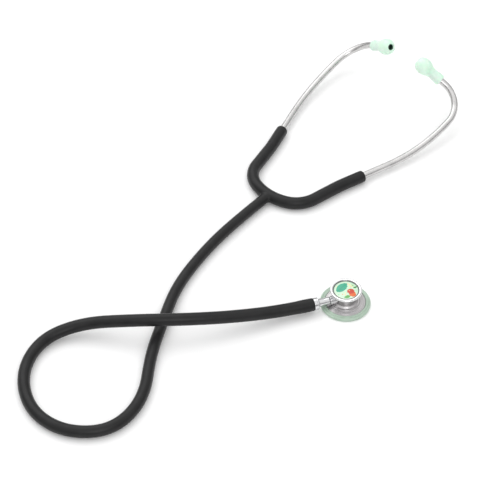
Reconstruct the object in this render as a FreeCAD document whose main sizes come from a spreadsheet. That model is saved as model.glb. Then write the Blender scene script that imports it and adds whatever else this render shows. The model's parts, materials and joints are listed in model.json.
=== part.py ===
"""Double-headed child's stethoscope, lying on a table. FreeCAD macro, millimetres.

Frame: the origin is the middle of the chestpiece's contact plane on the table, +Z is up and +Y runs
along the headset, from the yoke to the ear tips. The chestpiece lies on its diaphragm side.
"""

import FreeCAD, Part
import math
import os
import re
import Sketcher
from FreeCAD import Placement, Rotation, Vector

# Driving dimensions, in millimetres and degrees. Each is a cell of the Sizes sheet.
SIZES = {
    # chestpiece: diaphragm side
    "ring_diameter": 37.0,
    "ring_depth": 2.8,
    "ring_window": 30.0,
    "ring_lip": 0.5,
    "diaphragm_diameter": 33.6,
    "diaphragm_thickness": 0.3,
    "diaphragm_rise": 0.4,
    "face_diameter": 29.8,
    "flange_diameter": 33.8,
    "flange_top": 2.0,
    "flange_rim": 1.1,
    "funnel_level": 2.1,
    "plate_edge_level": 2.5,
    "plate_rise": 1.0,
    "bevel_width": 1.3,
    "foot_fillet": 0.8,
    "ring_edge": 0.5,
    "ring_step_level": 1.7,
    "ring_step_top": 2.3,
    "ring_crest": 1.9,
    # chestpiece: middle and small side
    "core_diameter": 15.8,
    "core_foot_level": 4.9,
    "core_top_level": 10.6,
    "boss_diameter": 10.0,
    "boss_depth": 1.0,
    "sound_hole": 3.0,
    "cup_diameter": 23.5,
    "cup_seat_level": 13.3,
    "cup_top_level": 15.2,
    "cup_mouth": 19.0,
    "disc_thickness": 0.8,
    "retainer_width": 0.55,
    "retainer_depth": 0.4,
    "cup_side": 0.5,
    "edge_break": 0.3,
    "snap_gap": 0.05,
    # stem, its nut and its click stop
    "stem_heading": 238.5,
    "stem_level": 7.0,
    "journal_diameter": 4.9,
    "journal_gap": 0.05,
    "journal_reach": 4.4,
    "groove_start": 2.9,
    "groove_width": 0.8,
    "groove_depth": 0.7,
    "o_ring_section": 0.68,
    "end_gap": 0.1,
    "flange_width": 0.8,
    "neck_diameter": 4.6,
    "stem_flange": 5.9,
    "nut_thread": 6.1,
    "nut_diameter": 6.5,
    "nut_end": 12.2,
    "nut_gap": 0.12,
    "collar_diameter": 9.2,
    "collar_start": 21.4,
    "collar_end": 24.9,
    "barb_start": 0.6,
    "barb_pitch": 3.4,
    "barb_height": 0.4,
    "barb_count": 3,
    "stem_lumen": 2.4,
    "sound_port": 2.0,
    "detent_offset": 3.4,
    "ball_diameter": 1.8,
    "ball_lift": 0.1,
    "dimple_offset": 0.5,
    "click_wire": 0.24,
    "click_coil": 0.66,
    "click_turns": 4,
    "detent_bore": 2.0,
    "screw_diameter": 2.5,
    "screw_start": 5.6,
    "screw_length": 1.5,
    # tubing
    "tube_diameter": 8.8,
    "tube_lumen": 4.0,
    # yoke and its leaf spring
    "yoke_middle": -114.3,
    "yoke_crown": 47.0,
    "yoke_level": 4.75,
    "yoke_diameter": 9.5,
    "yoke_lumen": 3.2,
    "stub_length": 7.5,
    "crown_bend": 42.0,
    "crown_half_turn": 20.0,
    "corner_bend": 24.0,
    "corner_half_turn": 28.85,
    "arm_run": 20.0,
    "arm_bend": 115.0,
    "arm_turn": 5.0,
    "socket_run": 17.5,
    "socket_depth": 15.0,
    "socket_gap": 0.05,
    "sleeve_rounding": 1.8,
    "knuckle_radius": 4.6,
    "knuckle_pocket": 5.1,
    "spring_offset": 2.75,
    "spring_thickness": 0.7,
    "spring_width": 4.4,
    "spring_reach": 12.0,
    "spring_gap": 0.3,
    # ear tubes
    "ear_tube_diameter": 5.5,
    "ear_tube_bore": 4.1,
    "ear_run": 22.8,
    "long_bend": 179.0,
    "long_turn": 22.5,
    "tight_bend": 22.1,
    "tight_turn": 93.6,
    "tip_run": 3.0,
    "tip_insertion": 8.8,
    "tube_tilt": 33.0,
    # ear tips
    "tip_rear_diameter": 9.2,
    "tip_waist_diameter": 8.2,
    "tip_waist": 8.0,
    "bulb_diameter": 13.4,
    "bulb_middle": 18.3,
    "insert_start": 0.9,
    "insert_end": 9.4,
    "insert_diameter": 7.0,
    "insert_gap": 0.07,
    "sound_outlet": 4.6,
}

# Centreline of the free tubing from the stem to the yoke, after the straight start at the stem's
# collar and before the straight end at the yoke. It crosses over itself once, in a low hump.
ROUTE = [
    (-23, -38, 7),
    (-44, -71, 12),
    (-68, -102, 22.5),
    (-94, -125, 22.5),
    (-128, -145, 9),
    (-141.5, -177, 4.4),
    (-131, -210, 4.4),
    (-102.5, -229, 4.4),
    (-68, -225.5, 4.4),
    (-44, -201, 4.4),
    (-41.5, -167, 4.4),
    (-66, -135, 4.4),
    (-83, -107, 4.4),
    (-98, -75, 4.4),
    (-109, -38, 4.4),
    (-114.3, 3, 4.75),
]
ARC_SHARE = 0.45  # share of the shorter run that each arc of the route takes up

UP = Vector(0, 0, 1)
ALONG_X = Rotation(UP, Vector(1, 0, 0))
CLICK_SIDE = Rotation(UP, Vector(0, -1, 0))


def bound(text):
    """Turns the size names in an expression into references to the sheet."""
    return re.sub(r"[a-z_]+", lambda word: f"Sizes.{word.group()}", text)


def make_sheet(document):
    sheet = document.addObject("Spreadsheet::Sheet", "Sizes")
    for row, (name, number) in enumerate(SIZES.items(), start=1):
        sheet.set(f"A{row}", name)
        sheet.set(f"B{row}", str(number))
        sheet.setAlias(f"B{row}", name)
    document.recompute()
    return sheet


def value(text):
    """The number that an expression of size names gives, read from the sheet."""
    return float(FreeCAD.ActiveDocument.Sizes.evalExpression(bound(text)))


# ---------------------------------------------------------------- building blocks


def place(thing, x="0", y="0", z="0", rotation=Rotation()):
    """Turns an object and binds its position to the sheet."""
    thing.Placement = Placement(Vector(), rotation)
    for axis, text in (("x", x), ("y", y), ("z", z)):
        thing.setExpression(f".Placement.Base.{axis}", bound(text))
    return thing


def turned_body(document, label, outline, axis="V_Axis"):
    """A turned piece. The outline is a closed list of (x, z) expressions in the body's XZ plane."""
    body = document.addObject("PartDesign::Body", label)
    sketch = body.newObject("Sketcher::SketchObject", f"{label}_outline")
    plane = next(p for p in body.Origin.OriginFeatures if p.Role == "XZ_Plane")
    sketch.AttachmentSupport = [(plane, "")]
    sketch.MapMode = "FlatFace"
    corners = [Vector(value(x), value(z), 0) for x, z in outline]
    for corner, following in zip(corners, corners[1:] + corners[:1]):
        sketch.addGeometry(Part.LineSegment(corner, following), False)
    for line, (corner, (x, z)) in enumerate(zip(corners, outline)):
        sketch.addConstraint(Sketcher.Constraint("Coincident", line, 2, (line + 1) % len(outline), 1))
        for kind, size, text in (("DistanceX", corner.x, x), ("DistanceY", corner.y, z)):
            number = sketch.addConstraint(Sketcher.Constraint(kind, -1, 1, line, 1, size))
            sketch.setExpression(f"Constraints[{number}]", bound(text))
    turned = body.newObject("PartDesign::Revolution", f"{label}_turned")
    turned.Profile = sketch
    turned.ReferenceAxis = (sketch, [axis])
    turned.Angle = 360.0
    sketch.Visibility = False
    document.recompute()
    return body


def cylinder(document, label, diameter, length, **where):
    tool = document.addObject("Part::Cylinder", label)
    tool.setExpression("Radius", bound(f"({diameter}) / 2"))
    tool.setExpression("Height", bound(length))
    return place(tool, **where)


def sphere(document, label, diameter, **where):
    ball = document.addObject("Part::Sphere", label)
    ball.setExpression("Radius", bound(f"({diameter}) / 2"))
    return place(ball, **where)


def cone(document, label, first, second, length, **where):
    taper = document.addObject("Part::Cone", label)
    taper.setExpression("Radius1", bound(f"({first}) / 2"))
    taper.setExpression("Radius2", bound(f"({second}) / 2"))
    taper.setExpression("Height", bound(length))
    return place(taper, **where)


def fused(document, label, pieces):
    union = document.addObject("Part::MultiFuse", label)
    union.Shapes = pieces
    return union


def cut(document, label, base, tools):
    """The base with the tools taken away."""
    result = document.addObject("Part::Cut", label)
    result.Base = base
    result.Tool = tools[0] if len(tools) == 1 else fused(document, f"{label}_tools", tools)
    document.recompute()
    return result


def part_feature(document, label, shape, placement=Placement()):
    feature = document.addObject("Part::Feature", label)
    feature.Shape = shape
    feature.Placement = placement
    return feature


def traced(pieces, start=Vector(), heading=0.0):
    """Straight runs and bends in the XY plane, one after another, each tangent to the last.

    A piece is (length,) for a run or (radius, turn) for a bend, where a positive turn is to the left.
    Returns the edges, the end point and the end heading in degrees.
    """
    edges, point = [], start
    for piece in pieces:
        angle = math.radians(heading)
        if len(piece) == 1:
            after = point + Vector(math.cos(angle), math.sin(angle), 0) * piece[0]
            edges.append(Part.LineSegment(point, after).toShape())
        else:
            radius, turn = piece
            side = math.copysign(1, turn)
            centre = point + Vector(-math.sin(angle), math.cos(angle), 0) * radius * side
            spoke = point - centre
            middle = centre + Rotation(UP, turn / 2).multVec(spoke)
            after = centre + Rotation(UP, turn).multVec(spoke)
            edges.append(Part.Arc(point, middle, after).toShape())
            heading += turn
        point = after
    return edges, point, heading


def pipe(edges, radius):
    """A round bar of the given radius along tangent edges."""
    start = edges[0].valueAt(edges[0].FirstParameter)
    tangent = edges[0].tangentAt(edges[0].FirstParameter)
    section = Part.Wire(Part.makeCircle(radius, start, tangent))
    return Part.Wire(edges).makePipeShell([section], True, False)


def flat(heading):
    """The level direction at a heading in degrees."""
    angle = math.radians(heading)
    return Vector(math.cos(angle), math.sin(angle), 0)


# ---------------------------------------------------------------- chestpiece


def head_placement(piece):
    """Turns a piece of the chestpiece so that its own +X points along the stem."""
    piece.Placement = Placement(Vector(), Rotation(UP, value("stem_heading")))
    return piece


def chestpiece_body(document):
    """Turned metal body with the stem's bore, the click stop's bore and the sound hole."""
    blank = turned_body(document, "chestpiece_blank", [
        ("sound_hole / 2", "funnel_level"),
        ("flange_diameter / 2 - flange_rim", "ring_lip + diaphragm_thickness"),
        ("flange_diameter / 2", "ring_lip + diaphragm_thickness"),
        ("flange_diameter / 2", "flange_top"),
        ("ring_window / 2", "flange_top"),
        ("ring_window / 2 - edge_break", "plate_edge_level"),
        ("core_diameter / 2 + foot_fillet + bevel_width", "plate_edge_level + plate_rise"),
        ("core_diameter / 2 + foot_fillet", "core_foot_level - foot_fillet"),
        ("core_diameter / 2", "core_foot_level"),
        ("core_diameter / 2", "core_top_level"),
        ("boss_diameter / 2", "core_top_level"),
        ("boss_diameter / 2", "core_top_level + boss_depth"),
        ("sound_hole / 2", "core_top_level + boss_depth"),
    ])
    tools = [
        cylinder(document, "journal_bore", "journal_diameter + 2 * journal_gap",
                 "2 * (journal_reach + end_gap)",
                 x="-journal_reach - end_gap", z="stem_level", rotation=ALONG_X),
        cylinder(document, "nut_bore", "nut_thread + snap_gap", "core_diameter",
                 x="journal_reach + end_gap", z="stem_level", rotation=ALONG_X),
        cylinder(document, "nut_room", "nut_diameter + edge_break", "core_diameter / 2",
                 x="core_diameter / 2 + snap_gap", z="stem_level", rotation=ALONG_X),
        cylinder(document, "ball_bore", "detent_bore", "core_diameter",
                 x="-detent_offset", y="-journal_diameter / 4", z="stem_level", rotation=CLICK_SIDE),
        cylinder(document, "screw_bore", "screw_diameter", "core_diameter",
                 x="-detent_offset", y="-screw_start", z="stem_level", rotation=CLICK_SIDE),
    ]
    return head_placement(cut(document, "chestpiece_body", blank, tools))


def bell_cup(document):
    """Polished cup on the small side, on the body's boss."""
    return head_placement(turned_body(document, "bell_cup", [
        ("boss_diameter / 2", "core_top_level"),
        ("core_diameter / 2", "core_top_level"),
        ("cup_diameter / 2 - cup_side", "cup_seat_level"),
        ("cup_diameter / 2", "cup_seat_level + cup_side"),
        ("cup_diameter / 2", "cup_top_level - edge_break"),
        ("cup_diameter / 2 - edge_break", "cup_top_level"),
        ("cup_mouth / 2 + edge_break", "cup_top_level"),
        ("cup_mouth / 2", "cup_top_level - edge_break"),
        ("cup_mouth / 2", "cup_seat_level"),
        ("cup_mouth / 2 - cup_side", "cup_seat_level"),
        ("boss_diameter / 2", "core_top_level + boss_depth + edge_break"),
    ]))


def graphic_disc(document):
    """Printed disc in the cup's mouth."""
    return head_placement(turned_body(document, "graphic_disc", [
        ("0", "cup_seat_level"),
        ("cup_mouth / 2 - snap_gap", "cup_seat_level"),
        ("cup_mouth / 2 - snap_gap", "cup_seat_level + disc_thickness"),
        ("0", "cup_seat_level + disc_thickness"),
    ]))


def disc_retainer(document):
    """Thin snap ring over the disc's edge."""
    return head_placement(turned_body(document, "disc_retainer", [
        ("cup_mouth / 2 - snap_gap - retainer_width", "cup_seat_level + disc_thickness"),
        ("cup_mouth / 2 - snap_gap", "cup_seat_level + disc_thickness"),
        ("cup_mouth / 2 - snap_gap", "cup_seat_level + disc_thickness + retainer_depth"),
        ("cup_mouth / 2 - snap_gap - retainer_width", "cup_seat_level + disc_thickness + retainer_depth"),
    ]))


def diaphragm(document):
    """Thin stiff membrane between the body's flange and the ring's lip, its middle almost flush."""
    return head_placement(turned_body(document, "diaphragm", [
        ("0", "ring_lip - diaphragm_rise"),
        ("face_diameter / 2", "ring_lip - diaphragm_rise"),
        ("face_diameter / 2 + edge_break", "ring_lip"),
        ("diaphragm_diameter / 2", "ring_lip"),
        ("diaphragm_diameter / 2", "ring_lip + diaphragm_thickness"),
        ("face_diameter / 2", "ring_lip + diaphragm_thickness"),
        ("face_diameter / 2 - edge_break", "ring_lip + diaphragm_thickness - diaphragm_rise"),
        ("0", "ring_lip + diaphragm_thickness - diaphragm_rise"),
    ]))


def diaphragm_ring(document):
    """Soft ring, not cold to the skin, snapped over the flange. Its groove holds the diaphragm."""
    return head_placement(turned_body(document, "diaphragm_ring", [
        ("ring_window / 2 + ring_edge", "0"),
        ("ring_diameter / 2 - ring_edge", "0"),
        ("ring_diameter / 2", "ring_edge"),
        ("ring_diameter / 2", "ring_step_level"),
        ("ring_diameter / 2 - ring_edge", "ring_step_top"),
        ("ring_diameter / 2 - ring_crest", "ring_depth"),
        ("ring_window / 2", "ring_depth"),
        ("ring_window / 2", "flange_top"),
        ("flange_diameter / 2 + snap_gap", "flange_top"),
        ("flange_diameter / 2 + snap_gap", "ring_lip"),
        ("ring_window / 2 + ring_edge", "ring_lip"),
    ]))


# ---------------------------------------------------------------- stem and click stop


def stem_placement(piece):
    """As head_placement, with the piece's own X axis on the stem's axis."""
    piece.Placement = Placement(Vector(0, 0, value("stem_level")), Rotation(UP, value("stem_heading")))
    return piece


def barb_outline():
    """Saw teeth that grip the tubing, from the collar outwards."""
    root = "tube_lumen / 2 + snap_gap"
    points = [("collar_end", root)]
    for tooth in range(SIZES["barb_count"]):
        start = f"collar_end + barb_start + {tooth} * barb_pitch"
        points.append((start, root))
        points.append((start, f"{root} + barb_height"))
    points.append(("collar_end + barb_start + barb_count * barb_pitch", root))
    return points


def stem(document):
    """Plated stem: journal in the head, flange that the nut holds, neck, collar and barbs."""
    blank = turned_body(document, "stem_blank", [
        ("-journal_reach", "0"),
        ("-journal_reach", "journal_diameter / 2"),
        ("groove_start", "journal_diameter / 2"),
        ("groove_start", "journal_diameter / 2 - groove_depth"),
        ("groove_start + groove_width", "journal_diameter / 2 - groove_depth"),
        ("groove_start + groove_width", "journal_diameter / 2"),
        ("journal_reach + 2 * end_gap", "journal_diameter / 2"),
        ("journal_reach + 2 * end_gap", "stem_flange / 2"),
        ("journal_reach + 2 * end_gap + flange_width", "stem_flange / 2"),
        ("journal_reach + 2 * end_gap + flange_width", "neck_diameter / 2"),
        ("collar_start", "neck_diameter / 2"),
        ("collar_start", "collar_diameter / 2 - edge_break"),
        ("collar_start + edge_break", "collar_diameter / 2"),
        ("collar_end", "collar_diameter / 2"),
        *barb_outline(),
        ("collar_end + barb_start + barb_count * barb_pitch", "stem_lumen / 2"),
        ("-stem_lumen", "stem_lumen / 2"),
        ("-stem_lumen", "0"),
    ], axis="H_Axis")
    tools = [cylinder(document, "port", "sound_port", "journal_diameter", z="-journal_diameter")]
    for name, side in (("first", "+"), ("second", "-")):
        tools.append(sphere(document, f"{name}_dimple", "ball_diameter + ball_lift", x="-detent_offset",
                            y=f"{side}(journal_diameter / 2 + dimple_offset)"))
    return stem_placement(cut(document, "stem", blank, tools))


def stem_o_ring(document):
    """Seal in the stem's groove, just clear of the groove's floor and of the bore."""
    ring = document.addObject("Part::Torus", "stem_o_ring")
    ring.setExpression("Radius1", bound("(journal_diameter + journal_gap - groove_depth) / 2"))
    ring.setExpression("Radius2", bound("o_ring_section / 2"))
    heading = Rotation(UP, value("stem_heading"))
    middle = Vector(value("groove_start + groove_width / 2"), 0, 0)
    seat = Vector(0, 0, value("stem_level")) + heading.multVec(middle)
    ring.Placement = Placement(seat, heading.multiply(ALONG_X))
    return ring


def stem_nut(document):
    """Threaded gland nut that holds the stem's flange in the head."""
    return stem_placement(turned_body(document, "stem_nut", [
        ("journal_reach + 3 * end_gap + flange_width", "neck_diameter / 2 + nut_gap"),
        ("journal_reach + 3 * end_gap + flange_width", "nut_thread / 2"),
        ("core_diameter / 2 + end_gap", "nut_thread / 2"),
        ("core_diameter / 2 + end_gap", "nut_diameter / 2"),
        ("nut_end - edge_break", "nut_diameter / 2"),
        ("nut_end", "nut_diameter / 2 - edge_break"),
        ("nut_end", "neck_diameter / 2 + nut_gap"),
    ], axis="H_Axis"))


def detent_seat(outwards):
    """Placement of a click stop piece, at a distance from the stem's axis, with its Z outwards."""
    heading = Rotation(UP, value("stem_heading"))
    offset = Vector(-value("detent_offset"), -outwards, value("stem_level"))
    return Placement(heading.multVec(offset), heading.multiply(CLICK_SIDE))


def detent_ball(document):
    ball = document.addObject("Part::Sphere", "detent_ball")
    ball.setExpression("Radius", bound("ball_diameter / 2"))
    ball.Placement = detent_seat(value("(journal_diameter + ball_diameter) / 2 + ball_lift"))
    return ball


def detent_spring(document):
    """Small coil spring between the ball and the screw."""
    wire, coil = value("click_wire"), value("click_coil")
    start = value("journal_diameter / 2 + ball_lift + ball_diameter + click_wire / 2 + snap_gap")
    length = value("screw_start - click_wire / 2 - snap_gap") - start
    helix = Part.makeHelix(length / value("click_turns"), length, coil)
    section = Part.Wire(Part.makeCircle(wire / 2, Vector(coil, 0, 0), Vector(0, 1, 0)))
    shape = Part.Wire(helix).makePipeShell([section], True, True)
    return part_feature(document, "detent_spring", shape, detent_seat(start))


def detent_screw(document):
    """Headless screw with a hexagon socket, which closes the click stop's bore."""
    blank = cylinder(document, "screw_blank", "screw_diameter", "screw_length")
    socket = document.addObject("Part::Prism", "screw_socket")
    socket.Polygon = 6
    socket.setExpression("Circumradius", bound("screw_diameter / 4"))
    socket.setExpression("Height", bound("screw_length"))
    place(socket, z="screw_length / 2")
    screw = cut(document, "detent_screw", blank, [socket])
    screw.Placement = detent_seat(value("screw_start"))
    return screw


# ---------------------------------------------------------------- free tubing


def rounded_route(points):
    """Straight runs joined by tangent arcs. Prints each arc's radius and the route's length."""
    edges, start, length = [], points[0], 0.0
    for before, corner, after in zip(points, points[1:], points[2:]):
        arriving = (corner - before).normalize()
        leaving = (after - corner).normalize()
        turn = arriving.getAngle(leaving)
        tangent = ARC_SHARE * min(corner.distanceToPoint(before), corner.distanceToPoint(after))
        radius = tangent / math.tan(turn / 2)
        first, last = corner - arriving * tangent, corner + leaving * tangent
        inwards = (leaving - arriving).normalize()
        middle = corner + inwards * (radius / math.cos(turn / 2) - radius)
        edges.append(Part.LineSegment(start, first).toShape())
        edges.append(Part.Arc(first, middle, last).toShape())
        length += start.distanceToPoint(first) + radius * turn
        start = last
        print(f"tubing arc: radius {radius:.0f} mm, turn {math.degrees(turn):.0f} degrees")
    edges.append(Part.LineSegment(start, points[-1]).toShape())
    length += start.distanceToPoint(points[-1])
    runs = [a.distanceToPoint(b) for a, b in zip(points, points[1:])]
    print("tubing runs:", " ".join(f"{run:.0f}" for run in runs))
    print(f"tubing length along the centreline: {length:.1f} mm")
    return edges, length


def main_tube(document):
    """Single-lumen tubing, from the stem's collar to the yoke's stub."""
    start = flat(value("stem_heading")) * value("collar_end") + UP * value("stem_level")
    end = Vector(value("yoke_middle"), value("yoke_crown") - value("stub_length"), value("yoke_level"))
    edges, length = rounded_route([start, *(Vector(*point) for point in ROUTE), end])
    outer, inner = value("tube_diameter") / 2, value("tube_lumen") / 2
    shape = pipe(edges, outer).cut(pipe(edges, inner))
    expected = math.pi * (outer**2 - inner**2) * length
    print(f"tubing volume {shape.Volume:.0f} mm3, section times length {expected:.0f} mm3")
    if abs(shape.Volume / expected - 1) > 0.01:
        raise RuntimeError("the tubing's volume is not its section times its length")
    return part_feature(document, "main_tube", shape)


# ---------------------------------------------------------------- yoke and leaf spring

# The yoke's pieces are drawn about the middle of its crown, with the arms towards +Y.


def yoke_placement():
    return Placement(Vector(value("yoke_middle"), value("yoke_crown"), value("yoke_level")), Rotation())


def crown_half():
    """Bends from the middle of the crown to the right hinge."""
    return [
        (value("crown_bend"), value("crown_half_turn")),
        (value("corner_bend"), value("corner_half_turn")),
    ]


def right_hinge():
    """The right hinge's place and the yoke's heading there."""
    _, point, heading = traced(crown_half())
    return point, heading


def mirrored(shape):
    return shape.mirror(Vector(), Vector(1, 0, 0))


def upright(radius, point):
    """A tall upright cylinder about a point, for cutting a hinge's round faces."""
    height = 4 * value("yoke_diameter")
    return Part.makeCylinder(radius, height, point - UP * height / 2)


def spring_strip(reach, gap=0.0):
    """The leaf spring, or the room for it: a strip on the outer side of the yoke's centreline."""
    near = value("spring_offset") - value("spring_thickness") / 2 - gap
    far = value("spring_offset") + value("spring_thickness") / 2 + gap
    height = value("spring_width") + 2 * gap
    sides = []
    for offset in (near, far):
        bends = [
            (value("crown_bend") + offset, value("crown_half_turn")),
            (value("corner_bend") + offset, 2 * value("corner_half_turn")),
            (reach + gap,),
        ]
        edges, end, _ = traced(bends, start=Vector(0, -offset, 0))
        sides.append((edges, end))
    (inner, inner_end), (outer, outer_end) = sides
    cap = Part.LineSegment(inner_end, outer_end).toShape()
    middle = Part.LineSegment(Vector(0, -near, 0), Vector(0, -far, 0)).toShape()
    half = Part.Face(Part.Wire(Part.__sortEdges__([*inner, cap, *outer, middle])))
    half = half.extrude(UP * height)
    half.translate(UP * (-height / 2))
    return half.fuse(mirrored(half)).removeSplitter()


def knuckle(point, heading):
    """The crown's end beyond a hinge, rounded about the hinge's upright axis."""
    stub = Part.makeCylinder(value("yoke_diameter") / 2, value("yoke_diameter"), point, flat(heading))
    return stub.common(upright(value("knuckle_radius"), point))


def yoke_crown(document):
    """Moulded crown between the two hinges, with the stub that the tubing runs into."""
    point, heading = right_hinge()
    left = Vector(-point.x, point.y, 0)
    bends = [
        (value("corner_bend"), value("corner_half_turn")),
        (value("crown_bend"), 2 * value("crown_half_turn")),
        (value("corner_bend"), value("corner_half_turn")),
    ]
    edges, _, _ = traced(bends, start=left, heading=-heading)
    right_knuckle = knuckle(point, heading)
    stub = Part.makeCylinder(value("tube_diameter") / 2, value("stub_length"), Vector(), Vector(0, -1, 0))
    crown = pipe(edges, value("yoke_diameter") / 2).fuse([right_knuckle, mirrored(right_knuckle), stub])
    run = (value("yoke_diameter"),)
    beyond = left + flat(-heading).negative() * value("yoke_diameter")
    hollow, _, _ = traced([run, *bends, run], start=beyond, heading=-heading)
    lumen = Part.makeCylinder(value("yoke_lumen") / 2, 2 * value("stub_length"), Vector(), Vector(0, -1, 0))
    crown = crown.cut([pipe(hollow, value("yoke_lumen") / 2), lumen])
    crown = crown.cut(spring_strip(value("spring_reach")))
    return part_feature(document, "yoke_crown", crown, yoke_placement())


def leaf_spring(document):
    """Flat steel spring moulded into the yoke, which presses the ear tips together."""
    # in the crown the lumen meets the stub's, and the spring has a hole there for the sound
    strip = spring_strip(value("spring_reach"))
    hole = Part.makeCylinder(value("yoke_lumen") / 2, 2 * value("stub_length"), Vector(), Vector(0, -1, 0))
    return part_feature(document, "leaf_spring", strip.cut(hole), yoke_placement())


def arm_path():
    """The right arm's centreline from its hinge to the sleeve's end."""
    point, heading = right_hinge()
    pieces = [
        (value("corner_bend"), value("corner_half_turn")),
        (value("arm_run"),),
        (value("arm_bend"), -value("arm_turn")),
        (value("socket_run"),),
    ]
    return traced(pieces, start=point, heading=heading)


def right_sleeve():
    """Moulded arm that grips an ear tube."""
    point, _ = right_hinge()
    edges, end, heading = arm_path()
    sleeve = pipe(edges, value("yoke_diameter") / 2)
    rims = [edge for edge in sleeve.Edges if edge.CenterOfMass.distanceToPoint(end) < 0.1]
    sleeve = sleeve.makeFillet(value("sleeve_rounding"), rims)
    bore = value("ear_tube_diameter") / 2 + value("socket_gap")
    inwards = flat(heading).negative()
    socket = Part.makeCylinder(bore, value("socket_depth") + 1.5, end + flat(heading), inwards)
    tools = [
        upright(value("knuckle_pocket"), point),
        pipe(edges, value("yoke_lumen") / 2),
        socket,
        spring_strip(value("spring_reach"), value("spring_gap")),
    ]
    return sleeve.cut(tools)


def arm_sleeve(document, side):
    shape = right_sleeve()
    if side == "left":
        shape = mirrored(shape)
    return part_feature(document, f"{side}_arm_sleeve", shape, yoke_placement())


# ---------------------------------------------------------------- ear tubes and ear tips


def ear_tube_placement(side):
    """The ear tube's own X is its axis in the sleeve, and its own Y is the way it bends."""
    _, end, heading = arm_path()
    ahead = flat(heading)
    inwards = Vector(-ahead.y, ahead.x, 0)
    if side == "left":
        end = Vector(-end.x, end.y, 0)
        ahead = Vector(-ahead.x, ahead.y, 0)
        inwards = Vector(-inwards.x, inwards.y, 0)
    tilt = math.radians(value("tube_tilt"))
    bend_way = inwards * math.cos(tilt) + UP * math.sin(tilt)
    place_in_yoke = Placement(end, Rotation(ahead, bend_way, ahead.cross(bend_way), "XYZ"))
    return yoke_placement().multiply(place_in_yoke)


def ear_tube_path(last_run):
    pieces = [
        (value("socket_depth") + value("ear_run"),),
        (value("long_bend"), value("long_turn")),
        (value("tight_bend"), value("tight_turn")),
        (last_run,),
    ]
    return traced(pieces, start=Vector(-value("socket_depth"), 0, 0))


def ear_tube(document, side):
    """Bent metal tube, hollow, from inside the sleeve to inside the ear tip."""
    edges, _, _ = ear_tube_path(value("tip_run") + value("tip_insertion"))
    shape = pipe(edges, value("ear_tube_diameter") / 2).cut(pipe(edges, value("ear_tube_bore") / 2))
    return part_feature(document, f"{side}_ear_tube", shape, ear_tube_placement(side))


def ear_tip_placement(side):
    """The ear tip's own Z is its axis, from its rear face towards the ear."""
    _, end, heading = ear_tube_path(value("tip_run"))
    return ear_tube_placement(side).multiply(Placement(end, Rotation(UP, flat(heading))))


def ear_tip(document, side):
    """Soft ear tip: a round bulb on a waisted neck, hollow for the insert and the sound."""
    name = f"{side}_ear_tip"
    body = fused(document, f"{name}_blank", [
        cone(document, f"{name}_neck", "tip_rear_diameter", "tip_waist_diameter", "tip_waist"),
        cone(document, f"{name}_shoulder", "tip_waist_diameter", "0.8 * bulb_diameter",
             "bulb_middle - 0.3 * bulb_diameter - tip_waist", z="tip_waist"),
        sphere(document, f"{name}_bulb", "bulb_diameter", z="bulb_middle"),
    ])
    tools = [
        cylinder(document, f"{name}_mouth", "ear_tube_diameter + 4 * insert_gap", "2 * insert_start",
                 z="-insert_start"),
        cylinder(document, f"{name}_room", "insert_diameter", "insert_end - insert_start", z="insert_start"),
        cylinder(document, f"{name}_outlet", "sound_outlet", "bulb_middle + bulb_diameter"),
    ]
    tip = cut(document, name, body, tools)
    tip.Placement = ear_tip_placement(side)
    return tip


def tip_insert(document, side):
    """Threaded bush inside the ear tip, which turns on the ear tube's end."""
    insert = turned_body(document, f"{side}_tip_insert", [
        ("ear_tube_diameter / 2 + insert_gap", "insert_start"),
        ("insert_diameter / 2", "insert_start"),
        ("insert_diameter / 2", "insert_end"),
        ("ear_tube_diameter / 2 + insert_gap", "insert_end"),
    ])
    insert.Placement = ear_tip_placement(side)
    return insert


# ---------------------------------------------------------------- the whole object


def finish(document, nodes):
    """Checks every object and writes one STEP file for each sub-part."""
    document.recompute()
    for thing in document.Objects:
        if "Invalid" in thing.State or "Error" in thing.State:
            raise RuntimeError(f"{thing.Label} failed: {thing.State}")
    os.makedirs("parts", exist_ok=True)
    for node in nodes:
        shape = node.Shape
        if shape.isNull() or not shape.isValid() or not shape.Solids:
            raise RuntimeError(f"{node.Label} has no valid solid")
        shape.exportStep(f"parts/{node.Label}.step")
        print(f"{node.Label}: {len(shape.Solids)} solid, {shape.Volume:.1f} mm3, {shape.BoundBox}")


def main():
    document = FreeCAD.newDocument("stethoscope")
    make_sheet(document)
    makers = [
        chestpiece_body, bell_cup, graphic_disc, disc_retainer, diaphragm, diaphragm_ring,
        stem, stem_o_ring, stem_nut, detent_ball, detent_spring, detent_screw,
        main_tube, yoke_crown, leaf_spring,
    ]
    nodes = [maker(document) for maker in makers]
    for side in ("left", "right"):
        nodes += [maker(document, side) for maker in (arm_sleeve, ear_tube, tip_insert, ear_tip)]
    finish(document, nodes)


main()
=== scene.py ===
"""Looks of a child's stethoscope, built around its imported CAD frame. Metres, in the frame's own axes."""

import itertools
import json
import math

import bmesh
import bpy
from mathutils import Matrix, Vector

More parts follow.
